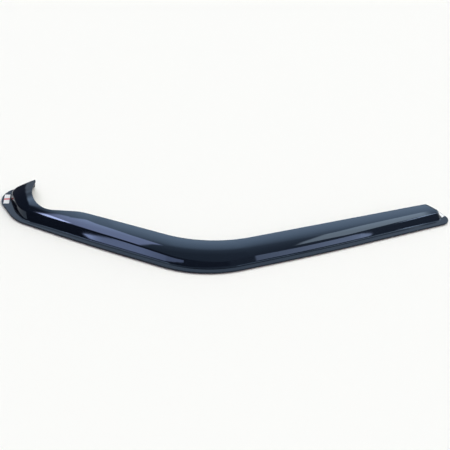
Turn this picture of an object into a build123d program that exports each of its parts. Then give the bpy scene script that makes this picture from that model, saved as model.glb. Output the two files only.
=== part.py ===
"""Window rain deflector: a moulded visor shell that is taped round the window of a car's front door."""
import os
from math import atan2, cos, degrees, radians, sin, tan

from build123d import *

# All lengths are in millimetres and all headings in degrees, counted from +X towards +Y.

# Outer edge of the flange: its sides, walked from the bend to the tail and from the bend to the horn
roof_near = 237.0
roof_near_heading = 16.2
roof_far = 273.5
roof_far_heading = 18.7
tail_side = 60.0
tail_heading = 128.0
pillar_near = 234.0
pillar_near_heading = 157.6
pillar_far = 166.0
pillar_far_heading = 155.2
nose_side = 96.0
nose_heading = 123.6
horn_side = 100.0
horn_heading = 20.0

# Corner radii of the outer edge
roof_radius = 3800.0
tail_radius = 14.0
bend_radius = 225.0
pillar_radius = 3500.0
chin_radius = 80.0
nose_radius = 33.0

# Sheet, and the width of the flange along the roof and the pillar and at the corners where it tapers
sheet = 3.0
flange_width = 12.5
chin_flange = 9.0
nose_flange = 27.0
horn_flange = 11.0
horn_end_flange = 3.0
tail_end_flange = 20.5
tail_taper = 20.5

# Wall: how far it leans, and its corner radii at the flange and at the top of its draft
wall_draft = 27.0
nose_draft = 12.0
tail_draft = 3.0
nose_foot_radius = 28.0
nose_top_radius = 8.0
tail_foot_radius = 9.0
tail_top_radius = 4.0

# Free edge, which stands clear of the window: its corners and sides
section_width = 61.8
section_heading = 81.5
free_roof_heading = 16.1
free_pillar_heading = 159.1
scoop_reach = 26.0
scoop_heading = 29.5
shoulder_heading = 170.9
horn_edge = 74.0
horn_edge_heading = 82.0
horn_cut_heading = 115.0
free_bend_radius = 248.0
kink_radius = 120.0
scoop_radius = 57.0
tip_radius = 10.0

# Crowned face: its height at the bend, its section, and the ridge line that it falls away from
face_height = 28.7
face_tilt = 0.62
edge_slope = 8.0
crown_radius = 120.0
ridge_near = 190.0
ridge_heading = 155.2
ridge_bend_radius = 210.0
ridge_radius = 2500.0
brow_radius = 20.0

# Rounded crease and foot of the moulding, its sharpest inner corner and its broken rim
crease_radius = 5.0
foot_radius = 2.5
corner_radius = 0.7
rim_chamfer = 0.6

# Adhesive tape under the flange, and the film that covers it
tape_width = 6.0
tape_thickness = 1.0
tape_margin = 1.5
tape_tail_gap = 30.0
tape_nose_gap = 60.0
tape_joint_gap = 4.0
liner_thickness = 0.15

# Paper labels on the flange
label_width = 11.0
label_thickness = 0.15
label_margin = 1.2
front_label_length = 27.0
front_label_inset = 10.7
front_label_bearing = 182.4
rear_label_length = 22.0
rear_label_inset = 6.7
rear_label_place = 33.0

flange_bottom = liner_thickness + tape_thickness
flange_top = flange_bottom + sheet

# Spare length of the blocks that are cut to shape: along the ground, past the tail's rim and upwards
overrun = 70.0
tail_spare = 12.0
headroom = 12.0
wall_top = face_height + headroom

# How near a point lies to a face that it is on
touch = 0.01
UP = (0, 0, 1)


def step(point, heading, length):
    """The point that lies a length away along a heading"""
    x, y = point
    return (x + length * cos(radians(heading)), y + length * sin(radians(heading)))


def heading_of(start, end):
    """The heading from one point to another"""
    return degrees(atan2(end[1] - start[1], end[0] - start[0]))


def meet(point_a, heading_a, point_b, heading_b):
    """The point where two straight lines cross"""
    ax, ay = step((0, 0), heading_a, 1)
    bx, by = step((0, 0), heading_b, 1)
    dx, dy = point_b[0] - point_a[0], point_b[1] - point_a[1]
    return step(point_a, heading_a, (dx * by - dy * bx) / (ax * by - ay * bx))


def inset(corners, widths):
    """Corners moved to the right of the sides between them, by a start and an end width for each side"""
    lines = []
    for start, end, (width_start, width_end) in zip(corners, corners[1:], widths):
        inward = heading_of(start, end) - 90
        lines.append((step(start, inward, width_start), step(end, inward, width_end)))
    moved = [lines[0][0]]
    for (a, b), (c, d) in zip(lines, lines[1:]):
        moved.append(meet(a, heading_of(a, b), c, heading_of(c, d)))
    return moved + [lines[-1][1]]


def evenly(corners, width):
    """Corners moved to the right of the sides between them, by one width all along"""
    return inset(corners, [(width, width)] * (len(corners) - 1))


def outline(corners, radii, level):
    """A flat face with rounded corners, closed straight across the inside of the bend"""
    points = [(x, y, level) for x, y in corners]
    return make_face(FilletPolyline(*points, radius=[0, *radii, 0], close=True).edges())


def carried(profile, corners, radii):
    """A profile carried along a path: extruded on its straight runs and turned round its corners"""
    headings = [heading_of(start, end) for start, end in zip(corners, corners[1:])]
    turns = [(after - before + 180) % 360 - 180 for before, after in zip(headings, headings[1:])]
    point = corners[0]
    pieces = []
    for heading, corner, turn, radius in zip(headings, corners[1:], [*turns, 0], [*radii, 0]):
        forward, left = step((0, 0), heading, 1), step((0, 0), heading + 90, 1)
        tangent = radius * tan(radians(abs(turn) / 2))
        turn_start = step(corner, heading, -tangent)
        run = (Vector(*turn_start) - Vector(*point)).length
        pieces.append(extrude(Plane(origin=point, x_dir=left, z_dir=forward) * profile, run))
        if turn:
            section = Plane(origin=turn_start, x_dir=left, z_dir=forward) * profile
            centre = step(turn_start, heading + (90 if turn > 0 else -90), radius)
            pieces.append(revolve(section, Axis((*centre, 0), UP), turn))
            point = step(corner, heading + turn, tangent)
    return pieces[0] + pieces[1:]


def touching(faces, edge):
    """How many of the faces the middle of an edge lies on"""
    return sum(face.distance_to(edge @ 0.5) < touch for face in faces)


def edges_between(solid, faces_a, faces_b):
    """The edges of a solid that run along a face of each of two groups"""
    return [e for e in solid.edges() if touching(faces_a, e) and touching(faces_b, e)]


# Corners of the flange's outer edge, from the far end of the tail round to the far end of the horn
bend = (0.0, 0.0)
roof_mid = step(bend, roof_near_heading, roof_near)
tail_corner = step(roof_mid, roof_far_heading, roof_far)
tail_end = step(tail_corner, tail_heading, tail_side + tail_spare)
pillar_mid = step(bend, pillar_near_heading, pillar_near)
chin = step(pillar_mid, pillar_far_heading, pillar_far)
nose = step(chin, nose_heading, nose_side)
horn_end = step(nose, horn_heading, horn_side)
outer = [tail_end, tail_corner, roof_mid, bend, pillar_mid, chin, nose, horn_end]
outer_radii = [tail_radius, roof_radius, bend_radius, pillar_radius, chin_radius, nose_radius]

# Corners of the free edge, from beyond the tail to beyond the cut that ends the horn
free_bend = step(bend, section_heading, section_width)
free_tail = step(free_bend, free_roof_heading, roof_near + roof_far + overrun)
scoop = step(chin, scoop_heading, scoop_reach)
kink = meet(free_bend, free_pillar_heading, scoop, shoulder_heading)
horn_tip = step(scoop, horn_edge_heading, horn_edge)
horn_far = step(horn_tip, horn_cut_heading, overrun)
free_corners = [free_tail, free_bend, kink, scoop, horn_tip, horn_far]
free_radii = [free_bend_radius, kink_radius, scoop_radius, tip_radius]

# Corners of the ridge line: it leaves the free edge along the pillar and comes back to it at the horn
ridge_mid = step(free_bend, free_pillar_heading, ridge_near)
brow = meet(ridge_mid, ridge_heading, scoop, horn_edge_heading)
horn_beyond = step(horn_tip, horn_edge_heading, overrun)
ridge_corners = [free_tail, free_bend, ridge_mid, brow, horn_beyond]
ridge_radii = [ridge_bend_radius, ridge_radius, brow_radius]

# Width of the flange at the start and the end of each side
tail_spread = tan(radians(tail_taper))
flange_widths = [
    (tail_end_flange + tail_spare * tail_spread, tail_end_flange - tail_side * tail_spread),
    (flange_width, flange_width),
    (flange_width, flange_width),
    (flange_width, flange_width),
    (flange_width, chin_flange),
    (chin_flange, nose_flange),
    (horn_flange, horn_end_flange),
]

# Lean of the wall on each side
wall_drafts = [tail_draft, wall_draft, wall_draft, wall_draft, wall_draft, nose_draft, wall_draft]


def below_face(drop):
    """Everything below the crowned face, or below a face that lies a drop under it"""
    behind = crown_radius * sin(radians(edge_slope))
    centre = Pos(-behind, face_height - crown_radius * cos(radians(edge_slope)))
    room = Pos((section_width - behind) / 2, face_height / 2) * Rectangle(
        section_width + behind, 2 * face_height
    )
    profile = centre * Circle(crown_radius - drop) & room
    return carried(profile, ridge_corners, ridge_radii).rotate(Axis.Y, face_tilt)


def wall_outline(level, depth, tail_round, nose_round):
    """The wall's outline at a level, on its outer skin or on a skin that lies a depth under it"""
    leans = [(level - flange_top) * tan(radians(d)) + depth / cos(radians(d)) for d in wall_drafts]
    widths = [(start + lean, end + lean) for (start, end), lean in zip(flange_widths, leans)]
    moved = flange_width + leans[1]
    radii = [
        max(tail_round - depth, corner_radius),
        roof_radius - moved,
        bend_radius - moved,
        pillar_radius - moved,
        chin_radius - moved,
        max(nose_round - depth, corner_radius),
    ]
    return outline(inset(outer, widths), radii, level)


def inside_wall(depth):
    """Everything inside the wall's outer skin, or inside a skin that lies a depth under it"""
    foot = wall_outline(flange_bottom, depth, tail_foot_radius, nose_foot_radius)
    top = wall_outline(wall_top, depth, tail_top_radius, nose_top_radius)
    return loft([foot, top], ruled=True)


def rounded_crease(block, walls, face, radius):
    """A block whose crease between the wall and the face is rounded"""
    crease = [e for e in edges_between(block, walls.faces(), face.faces()) if (e @ 0.5).Z > flange_top]
    return block.fillet(radius, crease)


def moulding():
    """The visor shell: a flange plate and a raised face, cut at the free edge and hollowed from below"""
    free_line = FilletPolyline(*free_corners, radius=free_radii)
    beyond = step(horn_far, free_roof_heading, overrun)
    free_face = make_face(free_line.edges() + Polyline(horn_far, beyond, free_tail).edges())
    window = extrude(free_face, 2 * face_height, dir=UP)
    blank = extrude(outline(outer, outer_radii, flange_bottom), sheet, dir=UP)
    plate = blank - window
    underside, *_, upper_side = plate.faces().sort_by(Axis.Z)

    walls, face = inside_wall(0), below_face(0)
    raised = rounded_crease((walls & face) - window, walls, face, crease_radius)
    shell = plate + raised
    shell = shell.fillet(foot_radius, edges_between(shell, walls.faces(), [upper_side]))

    walls, face = inside_wall(sheet), below_face(sheet)
    hollow = rounded_crease(walls & face, walls, face, crease_radius - sheet)
    shell = shell - hollow
    shell = shell.fillet(foot_radius + sheet, edges_between(shell, walls.faces(), [underside]))

    sides = (window.faces() + blank.faces()).filter_by(Axis.Z, reverse=True)
    return shell.chamfer(rim_chamfer, None, [e for e in shell.edges() if touching(sides, e) == 1])


def strip(corners, radii, level, thickness):
    """A strip of tape or film that runs inside the flange's outer edge, with square ends"""
    near, far = tape_margin, tape_margin + tape_width
    sides = [FilletPolyline(*evenly(corners, w), radius=[r - w for r in radii]) for w in (near, far)]
    ends = [Line(sides[0] @ t, sides[1] @ t) for t in (0, 1)]
    face = make_face(sides[0].edges() + sides[1].edges() + [end.edge() for end in ends])
    return extrude(Pos(0, 0, level) * face, thickness, dir=UP)


def label(centre, heading, length):
    """A paper label that lies on the flat of the flange, trimmed to its outline"""
    rim = outline(evenly(outer, label_margin), [r - label_margin for r in outer_radii], flange_top)
    foot = wall_outline(flange_top, -foot_radius, tail_foot_radius, nose_foot_radius)
    paper = Pos(*centre, flange_top) * Rot(0, 0, heading) * Rectangle(length, label_width)
    return extrude(paper & (rim - foot), label_thickness, dir=UP)


parts = {"visor_shell": moulding()}

# The roof tape runs round the bend, and the pillar tape runs from there round the chin
bend_tangent = bend_radius * tan(radians((180 - pillar_near_heading + roof_near_heading) / 2))
roof_tape_start = step(tail_corner, roof_far_heading, -tape_tail_gap)
roof_tape_end = step(bend, pillar_near_heading, bend_tangent + tape_joint_gap)
pillar_tape_start = step(roof_tape_end, pillar_near_heading, tape_joint_gap)
pillar_tape_end = step(nose, nose_heading, -tape_nose_gap)
tape_runs = {
    "roof": ([roof_tape_start, roof_mid, bend, roof_tape_end], [roof_radius, bend_radius]),
    "pillar": ([pillar_tape_start, pillar_mid, chin, pillar_tape_end], [pillar_radius, chin_radius]),
}
for place, (corners, radii) in tape_runs.items():
    parts[f"{place}_tape"] = strip(corners, radii, liner_thickness, tape_thickness)
    parts[f"{place}_liner"] = strip(corners, radii, 0, liner_thickness)

# One label lies on the flange at the nose and one at the tail
nose_centre = evenly(outer, nose_radius)[outer.index(nose)]
front_label_centre = step(nose_centre, front_label_bearing, nose_radius - front_label_inset)
rear_label_edge = step(tail_corner, tail_heading, rear_label_place)
rear_label_centre = step(rear_label_edge, tail_heading + 90, rear_label_inset)
parts["front_label"] = label(front_label_centre, front_label_bearing + 90, front_label_length)
parts["rear_label"] = label(rear_label_centre, tail_heading, rear_label_length)

# The frame's origin lies under the middle of the shell's box, on the surface that the tape sticks to
middle = parts["visor_shell"].bounding_box().center()
os.makedirs("parts", exist_ok=True)
for name, solid in parts.items():
    export_step(Pos(-middle.X, -middle.Y, 0) * solid, f"parts/{name}.step")
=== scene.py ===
from math import cos, radians, sin

import bpy
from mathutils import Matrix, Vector

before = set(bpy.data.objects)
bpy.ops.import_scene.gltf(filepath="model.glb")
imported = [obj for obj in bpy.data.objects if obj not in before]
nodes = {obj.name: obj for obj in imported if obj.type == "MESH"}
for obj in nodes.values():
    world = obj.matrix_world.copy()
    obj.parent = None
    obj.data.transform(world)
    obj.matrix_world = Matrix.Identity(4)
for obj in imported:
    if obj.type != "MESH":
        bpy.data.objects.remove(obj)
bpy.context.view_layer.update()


# The visor shell is one sheet of smoke-tinted acrylic, drawn hot over a mould and trimmed along its rim.
# It is glossy all over, with slight clouds in its tint and a little haze from handling.
acrylic_dark = (0.0030, 0.0046, 0.0080)
acrylic_light = (0.0042, 0.0064, 0.0108)
acrylic_sheen = (0.5, 0.7, 1.0)
acrylic_index = 1.49


def grain_group():
    """A shared effect: a fine grain over the surface, mapped between a low and a high value"""
    group = bpy.data.node_groups.new("grain", "ShaderNodeTree")
    group.interface.new_socket("Vector", in_out="INPUT", socket_type="NodeSocketVector")
    for name in ("Scale", "Detail", "Low", "High"):
        group.interface.new_socket(name, in_out="INPUT", socket_type="NodeSocketFloat")
    group.interface.new_socket("Value", in_out="OUTPUT", socket_type="NodeSocketFloat")
    inward = group.nodes.new("NodeGroupInput")
    noise = group.nodes.new("ShaderNodeTexNoise")
    spread = group.nodes.new("ShaderNodeMapRange")
    outward = group.nodes.new("NodeGroupOutput")
    for name in ("Vector", "Scale", "Detail"):
        group.links.new(inward.outputs[name], noise.inputs[name])
    group.links.new(noise.outputs["Fac"], spread.inputs["Value"])
    group.links.new(inward.outputs["Low"], spread.inputs["To Min"])
    group.links.new(inward.outputs["High"], spread.inputs["To Max"])
    group.links.new(spread.outputs["Result"], outward.inputs["Value"])
    return group


grain = grain_group()


def new_finish(name):
    """A new material with a Principled shader: its tree, its shader and the coordinates on the piece"""
    material = bpy.data.materials.new(name)
    material.use_nodes = True
    tree = material.node_tree
    coords = tree.nodes.new("ShaderNodeTexCoord")
    return material, tree, tree.nodes["Principled BSDF"], coords.outputs["Object"]


def add_grain(tree, coords, scale, detail, low=0.0, high=1.0):
    """The grain effect placed in a material, with its own values"""
    node = tree.nodes.new("ShaderNodeGroup")
    node.node_tree = grain
    tree.links.new(coords, node.inputs["Vector"])
    node.inputs["Scale"].default_value = scale
    node.inputs["Detail"].default_value = detail
    node.inputs["Low"].default_value = low
    node.inputs["High"].default_value = high
    return node.outputs["Value"]


def mix_colours(tree, factor, first, second):
    """A mix that runs from the first colour to the second with a factor"""
    mix = tree.nodes.new("ShaderNodeMix")
    mix.data_type = "RGBA"
    tree.links.new(factor, mix.inputs["Factor"])
    mix.inputs["A"].default_value = (*first, 1)
    mix.inputs["B"].default_value = (*second, 1)
    return mix


def dress(name, finish):
    """Give a CAD piece its finish"""
    nodes[name].data.materials.clear()
    nodes[name].data.materials.append(finish)


def smoke_acrylic():
    """Smoke-tinted acrylic: blue-black and glossy, with faint clouds and haze"""
    material, tree, shader, coords = new_finish("smoke_acrylic")
    clouds = add_grain(tree, coords, scale=14.0, detail=2.0)
    colour = mix_colours(tree, clouds, acrylic_dark, acrylic_light)
    tree.links.new(colour.outputs["Result"], shader.inputs["Base Color"])
    haze = add_grain(tree, coords, scale=60.0, detail=5.0, low=0.010, high=0.030)
    tree.links.new(haze, shader.inputs["Roughness"])
    shader.inputs["IOR"].default_value = acrylic_index
    shader.inputs["Specular Tint"].default_value = (*acrylic_sheen, 1)
    return material


dress("visor_shell", smoke_acrylic())


# The tape is dark grey acrylic foam, sticky on both sides and pressed on under the flange in two lengths.
# It is cut from a roll, and its cut edges show its closed cells.
foam_dark = (0.020, 0.021, 0.023)
foam_light = (0.055, 0.057, 0.060)
foam_roughness = 0.85
cell_depth = 0.0002


def add_bump(tree, shader, height, distance, strength):
    """A bump that lifts the surface by a height field"""
    bump = tree.nodes.new("ShaderNodeBump")
    bump.inputs["Distance"].default_value = distance
    bump.inputs["Strength"].default_value = strength
    tree.links.new(height, bump.inputs["Height"])
    tree.links.new(bump.outputs["Normal"], shader.inputs["Normal"])


def foam():
    """Dark grey closed-cell foam: matt, with a fine speckle of cells"""
    material, tree, shader, coords = new_finish("foam_tape")
    cells = add_grain(tree, coords, scale=2600.0, detail=4.0)
    colour = mix_colours(tree, cells, foam_dark, foam_light)
    tree.links.new(colour.outputs["Result"], shader.inputs["Base Color"])
    add_bump(tree, shader, cells, cell_depth, strength=0.5)
    shader.inputs["Roughness"].default_value = foam_roughness
    return material


foam_finish = foam()
dress("roof_tape", foam_finish)
dress("pillar_tape", foam_finish)


# A red film liner covers the sticky underside of each tape until the part is fitted to the door.
# It is thin polyethylene, embossed finely so that it peels away.
film_dark = (0.26, 0.010, 0.012)
film_light = (0.36, 0.020, 0.018)
film_roughness = 0.35
emboss_depth = 0.0001


def film():
    """Red polyethylene film: half-gloss, finely embossed"""
    material, tree, shader, coords = new_finish("liner_film")
    emboss = add_grain(tree, coords, scale=1400.0, detail=1.0)
    colour = mix_colours(tree, emboss, film_dark, film_light)
    tree.links.new(colour.outputs["Result"], shader.inputs["Base Color"])
    add_bump(tree, shader, emboss, emboss_depth, strength=0.4)
    shader.inputs["Roughness"].default_value = film_roughness
    return material


film_finish = film()
dress("roof_liner", film_finish)
dress("pillar_liner", film_finish)


# Two small labels of white coated paper are stuck on the flange, one at the nose and one at the tail.
# The front one has a plain red band across its middle.
paper_shade = (0.84, 0.82, 0.79)
paper_white = (0.90, 0.88, 0.84)
paper_roughness = 0.5
fibre_depth = 0.00005
band_red = (0.62, 0.03, 0.04)
band_width = 0.004
band_square_to = radians(92.4)


def paper(name):
    """White coated paper with a faint fibre: the material, its coordinates and its mix of colours"""
    material, tree, shader, coords = new_finish(name)
    fibre = add_grain(tree, coords, scale=1800.0, detail=4.0)
    colour = mix_colours(tree, fibre, paper_shade, paper_white)
    tree.links.new(colour.outputs["Result"], shader.inputs["Base Color"])
    add_bump(tree, shader, fibre, fibre_depth, strength=0.3)
    shader.inputs["Roughness"].default_value = paper_roughness
    return material, coords, colour


def banded_paper(name, label):
    """The same paper with a red band across the middle of a label, square to its long sides"""
    material, coords, colour = paper(name)
    tree = material.node_tree
    along = Vector((cos(band_square_to), sin(band_square_to), 0))
    places = [along.dot(vertex.co) for vertex in label.data.vertices]
    place = tree.nodes.new("ShaderNodeVectorMath")
    place.operation = "DOT_PRODUCT"
    place.inputs[1].default_value = along
    tree.links.new(coords, place.inputs[0])
    band = tree.nodes.new("ShaderNodeMath")
    band.operation = "COMPARE"
    tree.links.new(place.outputs["Value"], band.inputs[0])
    band.inputs[1].default_value = (min(places) + max(places)) / 2
    band.inputs[2].default_value = band_width / 2
    printed = mix_colours(tree, band.outputs["Value"], paper_white, band_red)
    tree.links.new(colour.outputs["Result"], printed.inputs["A"])
    tree.links.new(printed.outputs["Result"], tree.nodes["Principled BSDF"].inputs["Base Color"])
    return material


dress("front_label", banded_paper("label_band", nodes["front_label"]))
dress("rear_label", paper("label_paper")[0])


# The floor is a wide sheet of warm white studio paper, just clear of the liners.
# It isn't part of the object.
floor_size = 60.0
floor_drop = 0.0002
floor_white = (0.94, 0.90, 0.82)
floor_roughness = 0.9
bpy.ops.object.select_all(action="DESELECT")
bpy.ops.mesh.primitive_plane_add(size=floor_size, location=(0, 0, -floor_drop))
floor = bpy.context.object
floor.name = "floor"
floor_finish, _, floor_shader, _ = new_finish("floor_paper")
floor_shader.inputs["Base Color"].default_value = (*floor_white, 1)
floor_shader.inputs["Roughness"].default_value = floor_roughness
floor.data.materials.append(floor_finish)


# The studio is a dome of soft light, given as directions from the part: azimuths count from behind it (+Y)
# towards its right (+X), and all angles are in degrees. A white cloth hangs behind and over the part and
# falls off to dark in front of it, and soft panels hang beside the cloth and beside the camera.
world = bpy.data.worlds.new("studio")
bpy.context.scene.world = world
world.use_nodes = True
sky = world.node_tree
looking = sky.nodes.new("ShaderNodeTexCoord").outputs["Generated"]
axes = sky.nodes.new("ShaderNodeSeparateXYZ")
sky.links.new(looking, axes.inputs["Vector"])


def direction(azimuth, elevation):
    """The unit vector towards a place on the dome"""
    turn, rise = radians(azimuth), radians(elevation)
    return Vector((cos(rise) * sin(turn), cos(rise) * cos(turn), sin(rise)))


def sky_math(operation, first, second):
    """A calculation on the dome: each operand is a socket or a number"""
    node = sky.nodes.new("ShaderNodeMath")
    node.operation = operation
    for socket, operand in zip(node.inputs, (first, second)):
        if isinstance(operand, (int, float)):
            socket.default_value = operand
        else:
            sky.links.new(operand, socket)
    return node.outputs["Value"]


def beside(start, end, softness):
    """A mask that is 1 on the right of the line from one place to another, with a soft edge"""
    across = sky.nodes.new("ShaderNodeVectorMath")
    across.operation = "DOT_PRODUCT"
    across.inputs[1].default_value = direction(*start).cross(direction(*end)).normalized()
    sky.links.new(looking, across.inputs[0])
    edge = sky.nodes.new("ShaderNodeMapRange")
    edge.interpolation_type = "SMOOTHSTEP"
    edge.inputs["From Min"].default_value = -radians(softness)
    edge.inputs["From Max"].default_value = radians(softness)
    sky.links.new(across.outputs["Value"], edge.inputs["Value"])
    return edge.outputs["Result"]


def panel(corners, softness):
    """The mask of a panel with straight sides: its corners run clockwise as the part sees them"""
    mask = beside(corners[-1], corners[0], softness)
    for start, end in zip(corners, corners[1:]):
        mask = sky_math("MULTIPLY", mask, beside(start, end, softness))
    return mask


def graded(rise, run, levels):
    """A level of light that follows the angle of one axis over another, given at a few angles"""
    first, *between, last = levels
    place = sky.nodes.new("ShaderNodeMapRange")
    place.inputs["From Min"].default_value = radians(first)
    place.inputs["From Max"].default_value = radians(last)
    sky.links.new(sky_math("ARCTAN2", axes.outputs[rise], axes.outputs[run]), place.inputs["Value"])
    ramp = sky.nodes.new("ShaderNodeValToRGB")
    sky.links.new(place.outputs["Result"], ramp.inputs["Fac"])
    stops = ramp.color_ramp.elements
    for angle in between:
        stops.new((angle - first) / (last - first))
    peak = max(levels.values())
    for stop, level in zip(stops, levels.values()):
        stop.color = (level / peak, level / peak, level / peak, 1)
    return sky_math("MULTIPLY", ramp.outputs["Color"], peak)


def lit(colour, mask, level=1):
    """A colour within a mask, as light on the dome"""
    node = sky.nodes.new("ShaderNodeVectorMath")
    node.operation = "SCALE"
    node.inputs["Vector"].default_value = colour
    sky.links.new(sky_math("MULTIPLY", mask, level), node.inputs["Scale"])
    return node.outputs["Vector"]


# The cloth hangs on the right of a slanting edge. Its light follows its lean, from the horizon behind the
# part (0) over the top to the horizon in front of it (180).
cloth_edge = beside((-32, 26), (-54.5, 56), softness=1.5)
cloth_white = (0.92, 1.0, 1.05)
cloth_levels = {0: 1, 36: 1.1, 41: 1.65, 47: 0.8, 52: 1.3, 62: 4, 74: 2.35, 80: 0.8, 88: 0.35, 180: 0.15}

# A box hangs over the pillar leg, with a bright lamp at one corner
pillar_box = panel([(-75.2, 61.9), (-82, 70), (-57, 72), (-46, 64)], softness=0.3)
pillar_box_light = (4.5, 4.1, 5.1)
pillar_lamp = panel([(-75.2, 61.8), (-76.5, 63.2), (-72.2, 64.1), (-71.6, 62.6)], softness=0.3)
pillar_lamp_light = (15, 13, 15)

# Another box hangs over the roof leg, with a narrow lamp beside it
roof_box = panel([(49, 63), (55, 70.4), (83.5, 73), (81.5, 65.5)], softness=0.3)
roof_box_light = (4.4, 4.1, 3.55)
roof_lamp = panel([(127, 43.5), (100, 61), (98, 63), (127, 46.2)], softness=0.2)
roof_lamp_light = (11, 10.5, 10.5)

# A low strip stands on the camera's left and another on its right. Their light follows their azimuth, and
# each is brightest at its pointed end.
left_strip = panel([(-155.3, 8.5), (-155.3, 9.6), (-131.9, 5.97), (-135, 5.54)], softness=0.04)
left_strip_light = (4.2, 4.0, 4.9)
left_levels = {-155: 0.55, -142: 0.57, -138: 0.72, -136.8: 0.95, -133.7: 1, -133.1: 1.3, -132.4: 2.2}
right_strip = panel([(139.2, 7.24), (139.1, 7.33), (150.3, 10.3), (150.3, 5)], softness=0.04)
right_strip_light = (3.3, 3.1, 3.4)
right_levels = {139: 1.9, 140.3: 1.5, 141: 1.25, 144: 1.1, 147: 0.92, 150.5: 0.72}

# A wide panel on the right lights the floor, and the room is dim round the camera and elsewhere
side_panel = panel([(62, 8), (62, 50), (108, 48), (112, 8)], softness=4)
side_panel_light = (1.6, 1.55, 1.5)
camera_side = panel([(125, -12), (125, 45), (-145, 45), (-145, -12)], softness=8)
camera_side_light = (0.1, 0.1, 0.12)
room_glow = (0.11, 0.11, 0.15)

lights = [
    lit(cloth_white, cloth_edge, graded("Z", "Y", cloth_levels)),
    lit(pillar_box_light, pillar_box),
    lit(pillar_lamp_light, pillar_lamp),
    lit(roof_box_light, roof_box),
    lit(roof_lamp_light, roof_lamp),
    lit(left_strip_light, left_strip, graded("X", "Y", left_levels)),
    lit(right_strip_light, right_strip, graded("X", "Y", right_levels)),
    lit(side_panel_light, side_panel),
    lit(camera_side_light, camera_side),
]
total = sky.nodes.new("ShaderNodeVectorMath")
total.inputs[1].default_value = room_glow
sky.links.new(lights[0], total.inputs[0])
for light in lights[1:]:
    added = sky.nodes.new("ShaderNodeVectorMath")
    sky.links.new(total.outputs["Vector"], added.inputs[0])
    sky.links.new(light, added.inputs[1])
    total = added
sky.links.new(total.outputs["Vector"], sky.nodes["Background"].inputs["Color"])


# The camera looks down on the part from in front, through a long lens, at a point near its middle.
view_elevation = radians(42)
view_distance = 1.9
lens_length = 78.33
sensor_width = 36
target_x = 0.0053
target_y = 0.0088
camera_data = bpy.data.cameras.new("camera")
camera_data.lens = lens_length
camera_data.sensor_width = sensor_width
camera = bpy.data.objects.new("camera", camera_data)
camera.location = (
    target_x,
    target_y - view_distance * cos(view_elevation),
    view_distance * sin(view_elevation),
)
camera.rotation_euler = (radians(90) - view_elevation, 0, 0)
bpy.context.scene.collection.objects.link(camera)
bpy.context.scene.camera = camera
bpy.context.scene.view_settings.view_transform = "Standard"
